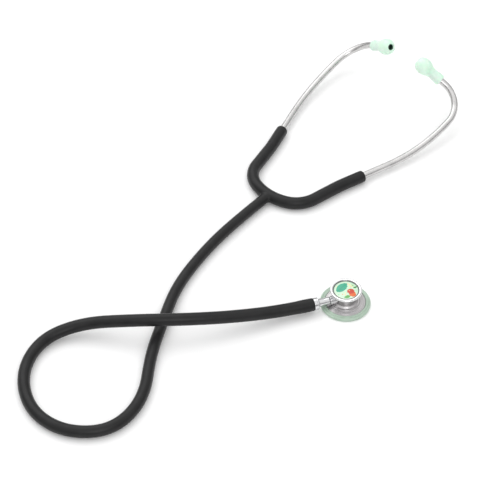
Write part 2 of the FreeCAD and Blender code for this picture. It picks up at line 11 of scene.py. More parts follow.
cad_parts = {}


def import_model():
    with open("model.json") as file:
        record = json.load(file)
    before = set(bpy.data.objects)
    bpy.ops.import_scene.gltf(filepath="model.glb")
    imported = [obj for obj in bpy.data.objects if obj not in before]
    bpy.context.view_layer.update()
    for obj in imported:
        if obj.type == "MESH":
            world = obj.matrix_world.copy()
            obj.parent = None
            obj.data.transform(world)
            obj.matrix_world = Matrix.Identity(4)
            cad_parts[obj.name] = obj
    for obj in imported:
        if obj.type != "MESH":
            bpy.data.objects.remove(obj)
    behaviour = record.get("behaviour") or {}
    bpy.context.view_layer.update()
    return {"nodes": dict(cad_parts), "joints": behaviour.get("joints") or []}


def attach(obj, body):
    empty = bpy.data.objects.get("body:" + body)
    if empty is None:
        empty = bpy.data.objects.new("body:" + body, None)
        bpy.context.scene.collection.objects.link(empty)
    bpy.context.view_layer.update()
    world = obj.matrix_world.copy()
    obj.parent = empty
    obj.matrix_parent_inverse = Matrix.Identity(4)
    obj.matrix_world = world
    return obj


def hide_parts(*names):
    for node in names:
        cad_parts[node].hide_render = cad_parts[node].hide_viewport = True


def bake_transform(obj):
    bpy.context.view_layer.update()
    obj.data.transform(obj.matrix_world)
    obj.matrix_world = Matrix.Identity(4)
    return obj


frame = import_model()
joints = {joint["name"]: joint for joint in frame["joints"]}

MM = 0.001
UP = Vector((0, 0, 1))
STEM_AXIS = Vector(joints["head_turn"]["axis"])  # from the chestpiece outwards
STEM_LEVEL = joints["head_turn"]["pos_m"][2]
CAMERA_HEADING = math.radians(41.2)


def frame_along(place, axis):
    """The matrix that puts a turned piece at a place, with its Z along an axis."""
    return Matrix.Translation(place) @ axis.to_track_quat("Z", "Y").to_matrix().to_4x4()


# ---------------------------------------------------------------- camera

camera_data = bpy.data.cameras.new("camera")
camera_data.sensor_width = 36
camera_data.lens = 130
camera = bpy.data.objects.new("camera", camera_data)
camera.location = (0.5138, -0.7044, 0.9344)
camera.rotation_euler = (math.radians(45), 0, CAMERA_HEADING)
bpy.context.scene.collection.objects.link(camera)
bpy.context.scene.camera = camera

# ---------------------------------------------------------------- the free tubing's route

# The CAD route's points. The hump over the crossing lies lower, and the rest is moved by a few
# millimetres so that the smooth line is where the real tubing lies.
ROUTE = [
    (-0.0130, -0.0212, 0.007),
    (-0.0245, -0.0395, 0.007),
    (-0.044, -0.0705, 0.012),
    (-0.0655, -0.101, 0.0185),
    (-0.094, -0.127, 0.0185),
    (-0.126, -0.147, 0.009),
    (-0.140, -0.175, 0.0044),
    (-0.1275, -0.2065, 0.0044),
    (-0.098, -0.226, 0.0044),
    (-0.0665, -0.2235, 0.0044),
    (-0.043, -0.201, 0.0044),
    (-0.0455, -0.167, 0.0044),
    (-0.0705, -0.1335, 0.0044),
    (-0.085, -0.106, 0.0044),
    (-0.1015, -0.0735, 0.0044),
    (-0.110, -0.038, 0.0044),
    (-0.1143, 0.001, 0.00475),
    (-0.1143, 0.0395, 0.00475),
]


def route_line(points, steps=20):
    """Points along the smooth line that has the route's points as its control points."""
    curve = bpy.data.curves.new("route", "CURVE")
    curve.dimensions = "3D"
    curve.resolution_u = steps
    spline = curve.splines.new("NURBS")
    spline.points.add(len(points) - 1)
    for knot, point in zip(spline.points, points):
        knot.co = (*point, 1)
    spline.order_u = 3
    spline.use_endpoint_u = True
    carrier = bpy.data.objects.new("route", curve)
    bpy.context.scene.collection.objects.link(carrier)
    bpy.context.view_layer.update()
    mesh = bpy.data.meshes.new_from_object(carrier)
    line = [vertex.co.copy() for vertex in mesh.vertices]
    bpy.data.objects.remove(carrier)
    bpy.data.meshes.remove(mesh)
    bpy.data.curves.remove(curve)
    return line


# ---------------------------------------------------------------- mesh building


def mesh_object(name, vertices, faces, sharp=35):
    """A smooth-shaded object, with edges sharper than the given angle in degrees kept crisp."""
    mesh = bpy.data.meshes.new(name)
    mesh.from_pydata([tuple(v) for v in vertices], [], faces)
    thing = bpy.data.objects.new(name, mesh)
    bpy.context.scene.collection.objects.link(thing)
    work = bmesh.new()
    work.from_mesh(mesh)
    bmesh.ops.recalc_face_normals(work, faces=work.faces)
    work.to_mesh(mesh)
    work.free()
    mesh.shade_smooth()
    mesh.set_sharp_from_angle(angle=math.radians(sharp))
    return thing


def skin_rings(rings, loop=False):
    """Quads between neighbouring rings of vertex indices. A ring of one index is a pole."""
    faces = []
    pairs = list(zip(rings, rings[1:]))
    if loop:
        pairs.append((rings[-1], rings[0]))
    for first, second in pairs:
        count = max(len(first), len(second))
        for i in range(count):
            there = [first[k % len(first)] for k in (i, i + 1)]
            back = [second[k % len(second)] for k in (i + 1, i)]
            faces.append(list(dict.fromkeys(there + back)))
    return faces


CORNER_STEPS = 5
CORNER_SHARE = 0.49  # the most of a side's length that one rounded corner may take
SLIGHT_TURN = 0.02  # radians
LONG_FACE, HOLD = 0.5, 0.06  # millimetres


def round_corner(before, corner, after, radius):
    """Points of the arc that rounds a corner, or the corner itself where it is almost straight."""
    arriving, leaving = corner - before, after - corner
    turn = arriving.angle(leaving, 0)
    if radius <= 0 or turn < SLIGHT_TURN:
        return [corner]
    reach = radius * math.tan(turn / 2)
    limit = CORNER_SHARE * min(arriving.length, leaving.length)
    if reach > limit:
        radius *= limit / reach
        reach = limit
    arriving.normalize()
    leaving.normalize()
    centre = corner + (leaving - arriving).normalized() * (radius / math.cos(turn / 2))
    first, last = corner - arriving * reach - centre, corner + leaving * reach - centre
    spokes = [first.lerp(last, k / CORNER_STEPS).normalized() for k in range(CORNER_STEPS + 1)]
    return [centre + spoke * radius for spoke in spokes]


def held(line):
    """Adds a point close to either end of each long face, so that its shading stays flat."""
    points = [line[0]]
    for a, b in zip(line, line[1:]):
        length = (b - a).length
        if length > LONG_FACE:
            points += [a.lerp(b, HOLD / length), a.lerp(b, 1 - HOLD / length)]
        points.append(b)
    return points


def rounded(outline, loop):
    """The outline's points, (r, z, rounding) or (r, z) in millimetres, with the corners rounded."""
    corners = [Vector(point[:2]) for point in outline]
    radii = [point[2] if len(point) > 2 else 0 for point in outline]
    count = len(corners)
    made = []
    for i, (corner, radius) in enumerate(zip(corners, radii)):
        if not loop and i in (0, count - 1):
            made.append(corner)
        else:
            made += round_corner(corners[i - 1], corner, corners[(i + 1) % count], radius)
    return held(made + [made[0]])[:-1] if loop else held(made)


POLE = 1e-6  # below this radius, in millimetres, a ring is a single point


def lathe(name, outline, matrix=Matrix(), loop=False, segments=144, sharp=35, squeeze=None):
    """A turned piece about the matrix's Z axis, from an outline of (radius, height, rounding)."""
    vertices, rings = [], []
    for radius, height in rounded(outline, loop):
        ring = []
        for k in range(1 if radius < POLE else segments):
            angle = 2 * math.pi * k / segments
            reach = radius * (squeeze(angle, height) if squeeze else 1)
            spot = Vector((reach * math.cos(angle), reach * math.sin(angle), height))
            ring.append(len(vertices))
            vertices.append(matrix @ (spot * MM))
        rings.append(ring)
    return mesh_object(name, vertices, skin_rings(rings, loop), sharp)


def capped(vertices, rings, first, last):
    """Vertices and faces of a skin over the rings, with a flat cap about a point at either end."""
    vertices = vertices + [first.copy(), last.copy()]
    count = len(vertices)
    return vertices, skin_rings([[count - 2], *rings, [count - 1]])


def sweep(name, line, radii, up=UP, sides=48, sharp=35):
    """A round bar along a line, with a radius for each point."""
    vertices, rings = [], []
    count = len(line)
    for i, (point, radius) in enumerate(zip(line, radii)):
        tangent = (line[min(i + 1, count - 1)] - line[max(i - 1, 0)]).normalized()
        side = up.cross(tangent).normalized()
        over = tangent.cross(side)
        ring = []
        for k in range(sides):
            angle = 2 * math.pi * k / sides
            ring.append(len(vertices))
            vertices.append(point + (side * math.cos(angle) + over * math.sin(angle)) * radius)
        rings.append(ring)
    return mesh_object(name, *capped(vertices, rings, line[0], line[-1]), sharp)


STRAIGHT_STEP, BEND_STEP = 3.2 * MM, 0.8 * MM


def traced(pieces, start):
    """Points along straight runs (length,) and bends (radius, degrees), setting out along +X."""
    point, angle = Vector(start), 0.0
    points = [point]
    for piece in pieces:
        ahead = Vector((math.cos(angle), math.sin(angle), 0))
        if len(piece) == 1:
            count = max(2, round(piece[0] / STRAIGHT_STEP))
            points += [point + ahead * piece[0] * k / count for k in range(1, count + 1)]
        else:
            radius, turn = piece[0], math.radians(piece[1])
            side = math.copysign(1, turn)
            centre = point + Vector((-ahead.y, ahead.x, 0)) * radius * side
            count = max(3, round(abs(turn) * radius / BEND_STEP))
            spoke = point - centre
            spokes = [Matrix.Rotation(turn * k / count, 3, "Z") @ spoke for k in range(1, count + 1)]
            points += [centre + spoke for spoke in spokes]
            angle += turn
        point = points[-1]
    return points


def lengths(line):
    """Distance along the line at each of its points."""
    return list(itertools.accumulate(((b - a).length for a, b in zip(line, line[1:])), initial=0.0))


def rim(distance, radius, rounding):
    """The radius at a distance from a bar's rounded end."""
    if distance >= rounding:
        return radius
    return radius - rounding + math.sqrt(max(rounding**2 - (rounding - distance) ** 2, 0))


# ---------------------------------------------------------------- materials


class Finish:
    """A material under construction. Sizes of patterns are in millimetres."""

    def __init__(self, name, **sockets):
        self.material = bpy.data.materials.new(name)
        self.material.use_nodes = True
        self.tree = self.material.node_tree
        self.shader = next(node for node in self.tree.nodes if node.type == "BSDF_PRINCIPLED")
        for socket, number in sockets.items():
            self.set(self.shader, socket.replace("_", " "), number)
        self.where = self.add("ShaderNodeTexCoord").outputs["Object"]
        self.relief = None

    def add(self, kind, **settings):
        node = self.tree.nodes.new(kind)
        for name, setting in settings.items():
            setattr(node, name, setting)
        return node

    def set(self, node, socket, thing):
        """Links a socket to an input, or gives the input a value."""
        target = node.inputs[socket]
        if isinstance(thing, bpy.types.NodeSocket):
            self.tree.links.new(thing, target)
        else:
            target.default_value = thing

    def calc(self, operation, *things):
        node = self.add("ShaderNodeMath", operation=operation)
        for index, thing in enumerate(things):
            self.set(node, index, thing)
        return node.outputs[0]

    def xyz(self):
        """The place on the piece, as three numbers in millimetres."""
        parts = self.add("ShaderNodeSeparateXYZ")
        self.set(parts, 0, self.where)
        return [self.calc("DIVIDE", output, MM) for output in parts.outputs]

    def length(self, u, v):
        """The distance from the origin in a plane."""
        return self.calc("SQRT", self.calc("ADD", self.calc("MULTIPLY", u, u), self.calc("MULTIPLY", v, v)))

    def noise(self, size, detail):
        """Noise with features of the given size, as a number about 0.5."""
        node = self.add("ShaderNodeTexNoise")
        self.set(node, "Vector", self.where)
        self.set(node, "Scale", 1 / (size * MM))
        self.set(node, "Detail", detail)
        return node.outputs[0]

    def spread(self, number, low, high, from_low=0.3, from_high=0.7):
        """Maps a number from one range to another, by default from the range that noise fills."""
        node = self.add("ShaderNodeMapRange")
        self.set(node, "Value", number)
        self.set(node, "From Min", from_low)
        self.set(node, "From Max", from_high)
        self.set(node, "To Min", low)
        self.set(node, "To Max", high)
        return node.outputs[0]

    def mix(self, share, first, second):
        """A colour between two others, each a socket or red, green and blue."""
        node = self.add("ShaderNodeMix", data_type="RGBA")
        self.set(node, 0, share)
        for index, ink in ((6, first), (7, second)):  # the node's inputs A and B for colours
            self.set(node, index, (*ink, 1) if isinstance(ink, tuple) else ink)
        return node.outputs[2]

    def mottle(self, size, detail, first, second):
        """Lets the colour wander between two colours."""
        self.colour(self.mix(self.spread(self.noise(size, detail), 0, 1), first, second))

    def colour(self, socket):
        self.set(self.shader, "Base Color", socket)

    def roughness(self, size, detail, low, high):
        """Lets the roughness wander between two numbers."""
        self.set(self.shader, "Roughness", self.spread(self.noise(size, detail), low, high))

    def bump(self, height, depth):
        """Relief of the given depth in millimetres. A second call lies on top of the first."""
        node = self.add("ShaderNodeBump")
        self.set(node, "Strength", 1)
        self.set(node, "Distance", depth * MM)
        self.set(node, "Height", height)
        if self.relief:
            self.set(node, "Normal", self.relief)
        self.relief = node.outputs[0]
        self.set(self.shader, "Normal", self.relief)


def tubing_rubber():
    finish = Finish("tubing_pvc", Specular_IOR_Level=0.2)
    finish.mottle(9, 2, (0.0145, 0.0145, 0.0148), (0.02, 0.02, 0.0204))
    finish.roughness(2.5, 4, 0.32, 0.4)
    finish.bump(finish.noise(0.35, 3), 0.012)
    finish.bump(finish.noise(6, 1), 0.05)
    return finish.material


def soft_silicone(name, shade, light, roughness, scatter):
    finish = Finish(name, Subsurface_Weight=scatter, Subsurface_Scale=0.002,
                    Subsurface_Radius=(0.6, 1.0, 0.75), Coat_Weight=0.15, Coat_Roughness=0.25)
    finish.mottle(5, 2, shade, light)
    finish.roughness(1.6, 3, roughness - 0.05, roughness + 0.07)
    finish.bump(finish.noise(0.4, 3), 0.01)
    return finish.material


def dulled(colour):
    return tuple(0.9 * share for share in colour)


def polished_metal(name, colour, roughness):
    finish = Finish(name, Metallic=1)
    finish.mottle(3, 3, dulled(colour), colour)
    finish.roughness(1.2, 4, roughness * 0.75, roughness * 1.3)
    finish.bump(finish.noise(2, 1), 0.003)
    return finish.material


def turned_metal(name, colour, roughness):
    """Metal with fine marks in circles about the frame's upright axis."""
    finish = Finish(name, Metallic=1)
    x, y, _ = finish.xyz()
    noise = finish.add("ShaderNodeTexNoise", noise_dimensions="1D")
    finish.set(noise, "W", finish.length(x, y))
    finish.set(noise, "Scale", 2.2)
    finish.set(noise, "Detail", 3)
    marks = noise.outputs[0]
    finish.colour(finish.mix(finish.spread(marks, 0, 1), dulled(colour), colour))
    finish.set(finish.shader, "Roughness", finish.spread(marks, roughness * 0.8, roughness * 1.25))
    finish.bump(marks, 0.02)
    finish.bump(finish.noise(2, 1), 0.003)
    return finish.material


def ear_tube_metal():
    finish = Finish("ear_tube_aluminium", Metallic=1)
    finish.mottle(7, 3, (0.56, 0.555, 0.55), (0.68, 0.67, 0.665))
    finish.roughness(1.5, 4, 0.24, 0.36)
    finish.bump(finish.noise(0.5, 3), 0.005)
    return finish.material


def bore_shadow():
    # Dark teal painted shade for the inside of the ear tips' sound holes.
    finish = Finish("bore_shadow", Roughness=0.6)
    finish.mottle(1, 2, (0.014, 0.034, 0.025), (0.022, 0.052, 0.038))
    return finish.material


def seal_rubber():
    finish = Finish("seal_rubber", Base_Color=(0.015, 0.015, 0.015, 1), Roughness=0.5)
    finish.bump(finish.noise(0.3, 3), 0.01)
    return finish.material


# ---------------------------------------------------------------- printed disc


class Print(Finish):
    """Flat shapes painted over one another, placed by (right, up) on the disc."""

    BLUR = 0.12  # half the width of a shape's edge, in millimetres
    WOBBLE = 0.25  # how far an edge wanders, in millimetres

    def __init__(self, name, ground, painted_sheen_ground):
        super().__init__(name, Coat_Weight=0.35, Coat_Roughness=0.08)
        x, y, _ = self.xyz()
        wobble = self.spread(self.noise(1.4, 1), -self.WOBBLE, self.WOBBLE)
        level = self.turned(x, y, CAMERA_HEADING)
        self.right, self.up = (self.calc("ADD", number, wobble) for number in level)
        # The ground drifts at random towards a paler colour, which is painted highlight.
        self.ink = self.mix(self.spread(self.noise(3.5, 2), 0, 1), ground, painted_sheen_ground)

    def turned(self, u, v, angle):
        """Coordinates in axes that are turned by an angle."""
        c, s = math.cos(angle), math.sin(angle)
        along = self.calc("ADD", self.calc("MULTIPLY", u, c), self.calc("MULTIPLY", v, s))
        across = self.calc("SUBTRACT", self.calc("MULTIPLY", v, c), self.calc("MULTIPLY", u, s))
        return along, across

    def local(self, centre, turn):
        """Coordinates about a centre, turned by an angle in degrees."""
        u = self.calc("SUBTRACT", self.right, centre[0])
        v = self.calc("SUBTRACT", self.up, centre[1])
        return self.turned(u, v, math.radians(turn))

    def inside(self, distance, radius):
        """A mask, 1 where the distance is less than the radius."""
        return self.spread(self.calc("SUBTRACT", radius, distance), 0, 1, -self.BLUR, self.BLUR)

    def paint(self, mask, ink):
        """Lays ink over what is there."""
        self.ink = self.mix(mask, self.ink, ink)

    def berry(self, ink, centre, width, height, turn=0):
        """An oval."""
        u, v = self.local(centre, turn)
        distance = self.length(u, self.calc("MULTIPLY", v, width / height))
        self.paint(self.inside(distance, width / 2), ink)

    def leaf(self, ink, centre, length, width, turn):
        """Where two circles overlap."""
        radius = (length**2 + width**2) / (4 * width)
        offset = radius - width / 2
        u, v = self.local(centre, turn)
        distances = [self.length(u, self.calc("ADD", v, side * offset)) for side in (1, -1)]
        self.paint(self.calc("MINIMUM", *(self.inside(distance, radius) for distance in distances)), ink)

    def vein(self, ink, centre, length, turn, half_width=0.16):
        """A straight stroke."""
        u, v = self.local(centre, turn)
        across = self.inside(self.calc("ABSOLUTE", v), half_width)
        along = self.inside(self.calc("ABSOLUTE", u), length / 2)
        self.paint(self.calc("MULTIPLY", across, along), ink)


TEAL, DEEP_TEAL = (0.02, 0.37, 0.22), (0.012, 0.23, 0.15)
SPECKS = [  # place, size, ink
    ((3.0, 5.2), 1.5, (0.9, 0.72, 0.16)),
    ((1.6, 6.3), 1.0, (0.9, 0.5, 0.16)),
    ((4.0, 3.4), 1.1, (0.9, 0.6, 0.2)),
    ((2.6, 3.0), 0.8, (0.95, 0.8, 0.3)),
    ((-2.6, -4.1), 1.1, (0.75, 0.36, 0.2)),
    ((-0.6, -3.0), 1.0, (0.9, 0.72, 0.25)),
    ((-5.6, -4.6), 0.9, (0.3, 0.66, 0.42)),
    ((-0.9, -4.9), 0.7, (0.9, 0.55, 0.2)),
    ((-7.0, 3.4), 0.8, (0.9, 0.72, 0.25)),
]


def printed_disc():
    """Plain leaf and berry shapes on pale mint, whose paler patches are painted highlight."""
    plate = Print("printed_disc", (0.47, 0.73, 0.54), (0.7, 0.82, 0.64))
    plate.leaf(TEAL, (-3.0, 2.6), 11.5, 6.6, 48)
    plate.leaf(TEAL, (-4.3, 0.2), 6.4, 4.4, 20)
    plate.vein(DEEP_TEAL, (-3.0, 2.6), 9.0, 48)
    plate.vein(DEEP_TEAL, (-4.3, 0.2), 4.6, 20)
    plate.berry((0.72, 0.13, 0.02), (4.6, -3.7), 5.0, 5.6, 20)
    plate.berry((0.56, 0.04, 0.01), (3.3, -1.2), 5.4, 4.8, 10)
    plate.berry((0.9, 0.5, 0.3), (2.5, -0.4), 1.3, 0.8, 30)
    plate.leaf((0.1, 0.38, 0.07), (0.6, -6.6), 5.2, 2.6, 25)
    plate.leaf((0.05, 0.27, 0.06), (6.6, 2.7), 3.2, 1.7, 35)
    plate.leaf((0.3, 0.58, 0.18), (5.0, 4.6), 2.6, 1.2, -40)
    for centre, size, ink in SPECKS:
        plate.berry(ink, centre, size, size)
    plate.colour(plate.ink)
    plate.roughness(1.2, 3, 0.16, 0.26)
    plate.bump(plate.noise(4, 1), 0.01)
    return plate.material


def diaphragm_laminate():
    """Glass-fibre laminate: a fine weave under a matt film."""
    pitch = 0.5  # of the threads, in millimetres
    finish = Finish("diaphragm_laminate", Specular_IOR_Level=0.4)
    phases = [finish.calc("MULTIPLY", number, 2 * math.pi / pitch) for number in finish.xyz()[:2]]
    weave = finish.calc("MULTIPLY", *(finish.calc("SINE", phase) for phase in phases))
    finish.colour(finish.mix(finish.spread(weave, 0, 1, -1, 1), (0.7, 0.72, 0.67), (0.8, 0.81, 0.77)))
    finish.roughness(4, 3, 0.36, 0.48)
    finish.bump(weave, 0.006)
    return finish.material


rubber = tubing_rubber()
tip_silicone = soft_silicone("ear_tip_silicone", (0.66, 0.9, 0.74), (0.74, 0.95, 0.79), 0.3, 0.45)
ring_rubber = soft_silicone("ring_rubber", (0.375, 0.49, 0.395), (0.44, 0.565, 0.46), 0.42, 0.08)
chrome = polished_metal("chrome", (0.84, 0.84, 0.85), 0.1)
turned_steel = turned_metal("turned_steel", (0.53, 0.515, 0.52), 0.3)
stem_plating = polished_metal("stem_plating", (0.7, 0.7, 0.71), 0.16)
spring_steel = polished_metal("spring_steel", (0.45, 0.45, 0.47), 0.35)
# Near black, far darker than the other plating, so that the retainer draws the dark line round the disc's
# edge.
retainer_steel = polished_metal("retainer_steel", (0.16, 0.165, 0.165), 0.3)
brass = polished_metal("insert_brass", (0.72, 0.53, 0.26), 0.3)
tube_metal = ear_tube_metal()
disc_print = printed_disc()
laminate = diaphragm_laminate()
painted_bore_shade = bore_shadow()
seal = seal_rubber()


def dress(thing, material, body=None, replaces=()):
    """Gives a piece its material and slot, the body it rides on and the CAD nodes it stands for."""
    thing.data.materials.clear()
    thing.data.materials.append(material)
    if body:
        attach(thing, body)
    if replaces:
        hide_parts(*replaces)


# ---------------------------------------------------------------- free tubing

HOSE_START, HOSE_END = 4.72 * MM, 4.08 * MM  # radii: the moulding tapers towards the yoke
HOSE_RIM = 0.9 * MM
RIM_SPOTS = (0.04 * MM, 0.12 * MM, 0.25 * MM, 0.42 * MM, 0.62 * MM)  # added so that the rim is round
BARB_START, BARB_PITCH, BARB_COUNT = 0.9 * MM, 3.4 * MM, 3


def swelling(run, place, height, width):
    """A soft hill in the radius, about a place along the tubing."""
    return height * math.exp(-(((run - place) / width) ** 2))


def hose_radius(run, whole):
    """Tapers evenly, with a soft swelling over the stem's barbs and a rounded rim at the collar."""
    radius = HOSE_START + (HOSE_END - HOSE_START) * run / whole
    radius += swelling(run, place=7 * MM, height=0.16 * MM, width=5.5 * MM)
    for tooth in range(BARB_COUNT):
        radius += swelling(run, place=BARB_START + tooth * BARB_PITCH, height=0.05 * MM, width=0.7 * MM)
    return rim(run, radius, HOSE_RIM)


def free_tubing():
    """The tubing from the stem's collar to the yoke's stub, as one swept tube."""
    hose_line = route_line(ROUTE)
    ahead = (hose_line[1] - hose_line[0]).normalized()
    hose_line[1:1] = [hose_line[0] + ahead * spot for spot in RIM_SPOTS]
    runs = lengths(hose_line)
    hose = sweep("hose", hose_line, [hose_radius(run, runs[-1]) for run in runs], sides=56)
    dress(hose, rubber, "root", ["main_tube"])


free_tubing()

# ---------------------------------------------------------------- yoke

YOKE_RADIUS = 4.75 * MM
CROWN = Vector((ROUTE[-1][0], 0.047, 0.00475))  # the middle of the yoke
# The yoke's centreline from its middle: a bend's radius and degrees, or a straight run's length.
CROWN_HALF = [(0.042, 20), (0.024, 28.85)]
ARM = [(0.024, 28.85), (0.02,), (0.115, -5), (0.0175,)]
SLEEVE_ROUNDING = 1.7 * MM
SLEEVE_RIM = [SLEEVE_ROUNDING * (1 - math.cos(math.radians(turn))) for turn in (75, 60, 45, 30, 15, 0)]
BORE, BORE_LIP, BORE_DEPTH = 2.8 * MM, 0.25 * MM, 14.5 * MM
BORE_LINE = ((0, BORE + BORE_LIP), (BORE_LIP, BORE), (BORE_DEPTH, BORE))  # depth in the sleeve, and radius
PARTING_RIDGE, PARTING_WIDTH = 0.035 * MM, 0.03  # height in metres, half-width in radians


def section_angles(even=48, close=(0.02, 0.045)):
    """Angles round the yoke's section, with more of them by the mould's parting lines at either side."""
    extra = [middle + side * turn for middle in (0, math.pi) for side in (-1, 1) for turn in close]
    return sorted([2 * math.pi * k / even for k in range(even)] + [angle % (2 * math.pi) for angle in extra])


SECTION = section_angles()


def mirrored(line, side):
    """The right half's line, or its mirror image about the crown's middle."""
    return [Vector((CROWN.x + side * (p.x - CROWN.x), p.y, p.z)) for p in line]


def yoke_half(name, side):
    """Rubber from the crown's middle to the end of one sleeve."""
    line = traced(CROWN_HALF + ARM, CROWN)
    end = line[-1]
    ahead = (end - line[-2]).normalized()
    line = [point for point in line if (point - end).length > SLEEVE_ROUNDING]
    line += [end - ahead * spot for spot in SLEEVE_RIM]
    radii = [rim((point - end).length, YOKE_RADIUS, SLEEVE_ROUNDING) for point in line]
    for depth, radius in BORE_LINE:
        line.append(end - ahead * depth)
        radii.append(radius)
    skin = tube_with_bore(name, mirrored(line, side), radii)
    dress(skin, rubber)
    bend(skin)
    return skin


def tube_with_bore(name, line, radii):
    """As sweep, for a line that turns back on itself at its end to line the bore."""
    vertices, rings = [], []
    turn = len(line) - len(BORE_LINE)
    for i, (point, radius) in enumerate(zip(line, radii)):
        if i < turn:
            before, after = line[max(i - 1, 0)], line[min(i + 1, turn - 1)]
            tangent = (after - before).normalized()
            if i == 0:  # square to the seam, where the halves meet
                tangent.y = 0
        side = UP.cross(tangent).normalized()
        ring = []
        for angle in SECTION:
            ridge = PARTING_RIDGE * math.exp(-((math.sin(angle) / PARTING_WIDTH) ** 2))
            reach = radius + ridge if i < turn - len(SLEEVE_RIM) else radius
            ring.append(len(vertices))
            vertices.append(point + (side * math.cos(angle) + UP * math.sin(angle)) * reach)
        rings.append(ring)
    return mesh_object(name, *capped(vertices, rings, line[0], line[-1]))


def side_name(side):
    return "right" if side > 0 else "left"


def bend(piece):
    """Bakes the piece's placement into its mesh."""
    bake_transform(piece)


SPRING_HALF = CROWN_HALF + [ARM[0], (0.012,)]
SPRING_SECTION = ((2.4, -2.2), (3.1, -2.2), (3.1, 2.2), (2.4, 2.2))  # out from the centreline, and up


def spring_half(name, side):
    """Half of the flat steel spring inside the rubber."""
    line = traced(SPRING_HALF, CROWN)
    vertices, rings = [], []
    for i, point in enumerate(line):
        tangent = (line[min(i + 1, len(line) - 1)] - line[max(i - 1, 0)]).normalized()
        out = tangent.cross(UP)
        ring = []
        for offset, level in SPRING_SECTION:
            ring.append(len(vertices))
            vertices.append(point + out * offset * MM + UP * level * MM)
        rings.append(ring)
    faces = skin_rings(rings) + [rings[0], rings[-1]]
    strip = mesh_object(name, mirrored(vertices, side), faces)
    dress(strip, spring_steel)
    bend(strip)
    return strip


left_skin = yoke_half("yoke_left", -1)
right_skin = yoke_half("yoke_right", 1)
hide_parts("yoke_crown", "left_arm_sleeve")
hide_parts("right_arm_sleeve")
left_spring = spring_half("spring_left", -1)
spring_half("spring_right", 1)
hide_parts("leaf_spring")

STUB_RADIUS = HOSE_END + 0.015 * MM
STUB_END = ROUTE[-1][1] - CROWN.y - 0.6 * MM  # a little way inside the free tubing's end
FILLET, FILLET_DROP, FILLET_STEPS = 2.2 * MM, 1.98 * MM, 10  # across the crown, down the stub, points
FILLET_TOP = 0.985  # of the crown's radius: the highest that the fillet reaches
SMOOTHNESS = 10  # the power of the smooth minimum
LEAST_SINE = 0.001  # keeps the top of the fillet finite at the stub's sides
TUCK = Vector((-0.02, 0.4)) * MM  # how the fillet's edge dips into the crown


def crown_wall(angle, reach):
    """How far the crown's outer wall is from its middle, at a reach from the stub's axis."""
    x, z = reach * math.cos(angle), reach * math.sin(angle)
    return x * x / (2 * CROWN_HALF[0][0]) - math.sqrt(YOKE_RADIUS**2 - z * z)


def stub_profile(angle):
    """Points (reach, y) from inside the crown, along the fillet, to the stub's end."""
    widest = STUB_RADIUS + FILLET
    highest = FILLET_TOP * YOKE_RADIUS / max(abs(math.sin(angle)), LEAST_SINE)
    far = (widest**-SMOOTHNESS + highest**-SMOOTHNESS) ** (-1 / SMOOTHNESS)
    start = Vector((far, crown_wall(angle, far)))
    corner = Vector((STUB_RADIUS, crown_wall(angle, STUB_RADIUS)))
    end = corner - Vector((0, FILLET_DROP))
    profile = [start + TUCK]
    for step in range(FILLET_STEPS + 1):
        t = step / FILLET_STEPS
        profile.append(start * (1 - t) ** 2 + corner * 2 * t * (1 - t) + end * t**2)
    return profile + [end.lerp(Vector((STUB_RADIUS, STUB_END)), share) for share in (0.35, 0.7, 1)]


def yoke_stub(sides=72):
    """The stub that the free tubing merges into, with a fillet all round where it meets the crown."""
    angles = [2 * math.pi * k / sides for k in range(sides)]
    vertices, rings = [], []
    for row in zip(*(stub_profile(angle) for angle in angles)):
        rings.append([len(vertices) + k for k in range(sides)])
        for angle, (reach, y) in zip(angles, row):
            vertices.append(CROWN + Vector((reach * math.cos(angle), y, reach * math.sin(angle))))
    return mesh_object("yoke_stub", *capped(vertices, rings, CROWN, CROWN + Vector((0, STUB_END, 0))))


dress(yoke_stub(), rubber, "root")

# ---------------------------------------------------------------- ear tubes and ear tips

INSERTED = 0.015  # length of ear tube in the sleeve
EAR_TUBE = [(INSERTED + 0.0228,), (0.179, 22.5), (0.0221, 93.6), (0.0118,)]
EAR_TUBE_RADIUS, EAR_TUBE_EDGE = 2.75 * MM, 0.3 * MM


def ear_axes(side):
    """The ear tube's place in the sleeve's mouth, its direction there and the way it bends."""
    name = side_name(side)
    twist, tip = joints[f"{name}_tube_twist"], joints[f"{name}_tip_turn"]
    origin = Vector(twist["pos_m"])
    ahead = Vector(twist["axis"]) * side
    to_tip = Vector(tip["pos_m"]) - origin
    bends = (to_tip - ahead * to_tip.dot(ahead)).normalized()
    return origin, ahead, bends


def ear_tube(side):
    name = side_name(side)
    origin, ahead, bends = ear_axes(side)
    flat_line = traced(EAR_TUBE, (-INSERTED, 0, 0))
    line = [origin + ahead * point.x + bends * point.y for point in flat_line]
    runs = lengths(line)
    radii = [rim(min(run, runs[-1] - run), EAR_TUBE_RADIUS, EAR_TUBE_EDGE) for run in runs]
    tube = sweep(f"ear_tube_{name}", line, radii, up=ahead.cross(bends), sharp=40)
    dress(tube, tube_metal, f"{name}_tube", [f"{name}_ear_tube"])


# The outlines of turned pieces hold each corner's radius, height and rounding, in millimetres.
TIP = [  # from the rear face over the bulb and back through the sound hole
    (2.95, 0.9), (2.95, 0, 0.25), (4.2, 0, 0.7), (4.66, 0.9, 0.7), (4.62, 4.2, 2), (4.32, 6.6, 3),
    (4.2, 9.0, 3), (4.75, 11.6, 3.5), (5.9, 13.8, 5), (6.62, 16.3, 5), (6.78, 18.6, 5), (6.4, 21.0, 5),
    (5.35, 23.1, 4), (4.1, 24.4, 3), (3.0, 24.95, 0.7), (2.5, 24.4, 0.6), (2.5, 23.4), (2.5, 9.6),
    (3.45, 9.4), (3.45, 0.9),
]
TIP_SHADE_SLEEVE = [(2.49, 23.8), (2.49, 9.7), (2.1, 9.7), (2.1, 23.8)]  # painted shade: a dark sleeve inside the sound hole
# painted shade: a dark disc across the sound hole, deep inside it
TIP_SHADE_DISC = [(0, 20.5), (2.3, 20.5), (2.3, 20.0), (0, 20.0)]


